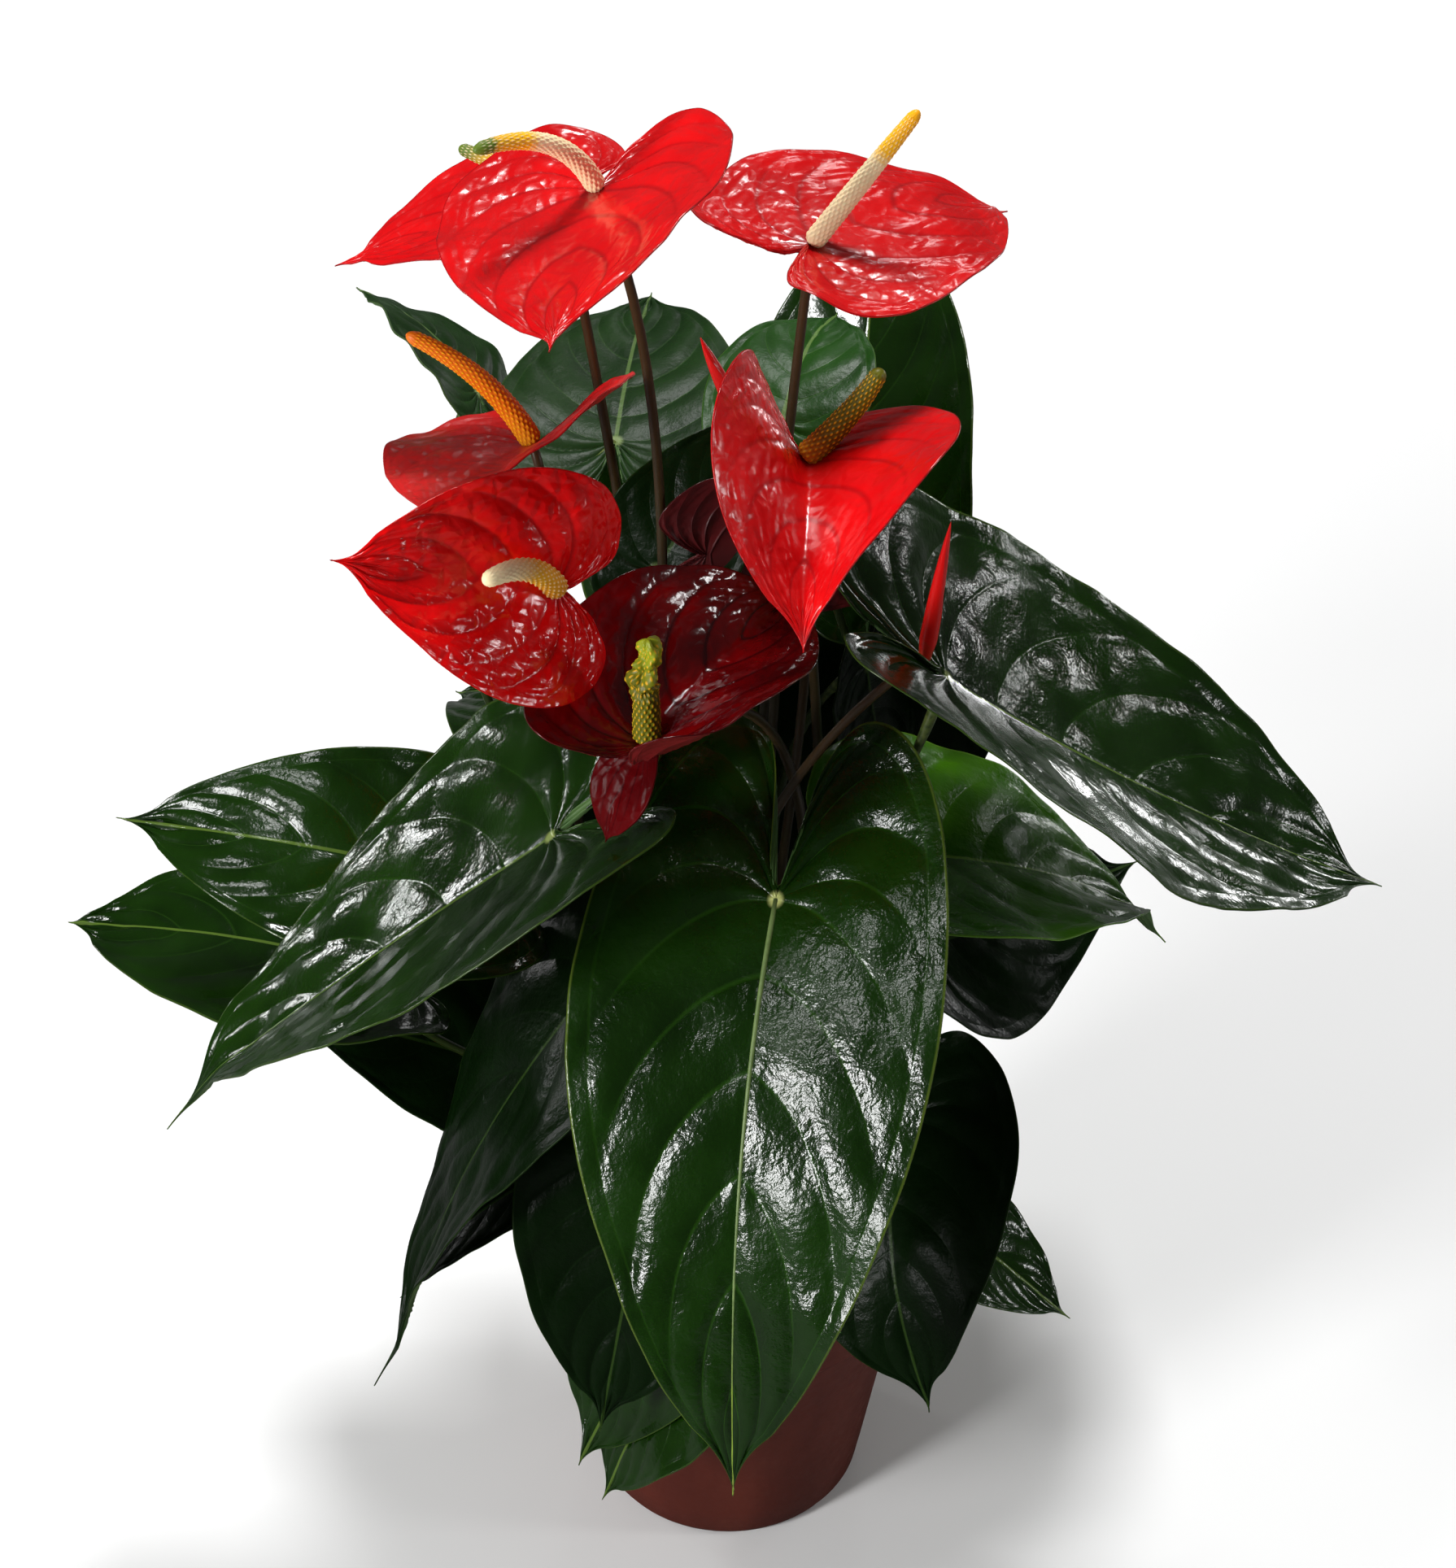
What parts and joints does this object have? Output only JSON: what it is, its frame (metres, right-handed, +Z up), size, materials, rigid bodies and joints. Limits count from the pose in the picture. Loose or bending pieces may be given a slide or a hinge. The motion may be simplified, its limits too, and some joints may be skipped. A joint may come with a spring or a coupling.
{
  "type": "potted anthurium",
  "caption": "Flowering potted houseplant: glossy heart-shaped leaves and waxy red spathes with upright spikes on slim stalks, standing in a plain round tapered pot of soil",
  "frame": {"origin": "centre of the flat underside of the pot, on the surface that it stands on", "axes": "+Z up along the pot's axis; the front of the plant, with the largest hanging leaf, faces -Y; +X is to the right seen from the front"},
  "size_m": [0.5388, 0.4538, 0.7277],
  "materials": {
    "pot": "satin",
    "soil": "matte",
    "leaf": "satin",
    "stalk": "satin",
    "spathe": "gloss",
    "spathe_dark": "gloss",
    "spathe_maroon": "gloss",
    "spadix": "matte"
  },
  "bodies": {
    "root": {"leaf_01": "leaf", "leaf_02": "leaf", "leaf_03": "leaf", "leaf_04": "leaf", "leaf_05": "leaf", "leaf_06": "leaf", "leaf_07": "leaf", "leaf_08": "leaf", "leaf_09": "leaf", "leaf_10": "leaf", "leaf_11": "leaf", "leaf_12": "leaf", "leaf_13": "leaf", "leaf_14": "leaf", "leaf_15": "leaf", "leaf_16": "leaf", "leaf_17": "leaf", "leaf_18": "leaf", "leaf_19": "leaf", "leaf_20": "leaf", "leaf_21": "leaf", "leaf_22": "leaf", "leaf_23": "leaf", "leaf_24": "leaf", "leaf_25": "leaf", "leaf_26": "leaf", "leaf_27": "leaf", "leaf_28": "leaf", "bloom_1_stalk": "stalk", "bloom_1_spathe": "spathe", "bloom_1_spadix": "spadix", "bloom_2_stalk": "stalk", "bloom_2_spathe": "spathe", "bloom_2_spadix": "spadix", "bloom_3_stalk": "stalk", "bloom_3_spathe": "spathe", "bloom_3_spadix": "spadix", "bloom_4_stalk": "stalk", "bloom_4_spathe": "spathe", "bloom_4_spadix": "spadix", "bloom_5_stalk": "stalk", "bloom_5_spathe": "spathe", "bloom_5_spadix": "spadix", "bloom_6_stalk": "stalk", "bloom_6_spathe": "spathe", "bloom_6_spadix": "spadix", "bloom_7_stalk": "stalk", "bloom_7_spathe": "spathe_dark", "bloom_7_spadix": "spadix", "bloom_8_stalk": "stalk", "bloom_8_spathe": "spathe_maroon", "bloom_8_spadix": "spadix", "bud_1_stalk": "stalk", "bud_1_spathe": "spathe", "bud_2_stalk": "stalk", "bud_2_spathe": "spathe", "pot": "pot", "soil": "soil"}
  },
  "joints": []
}
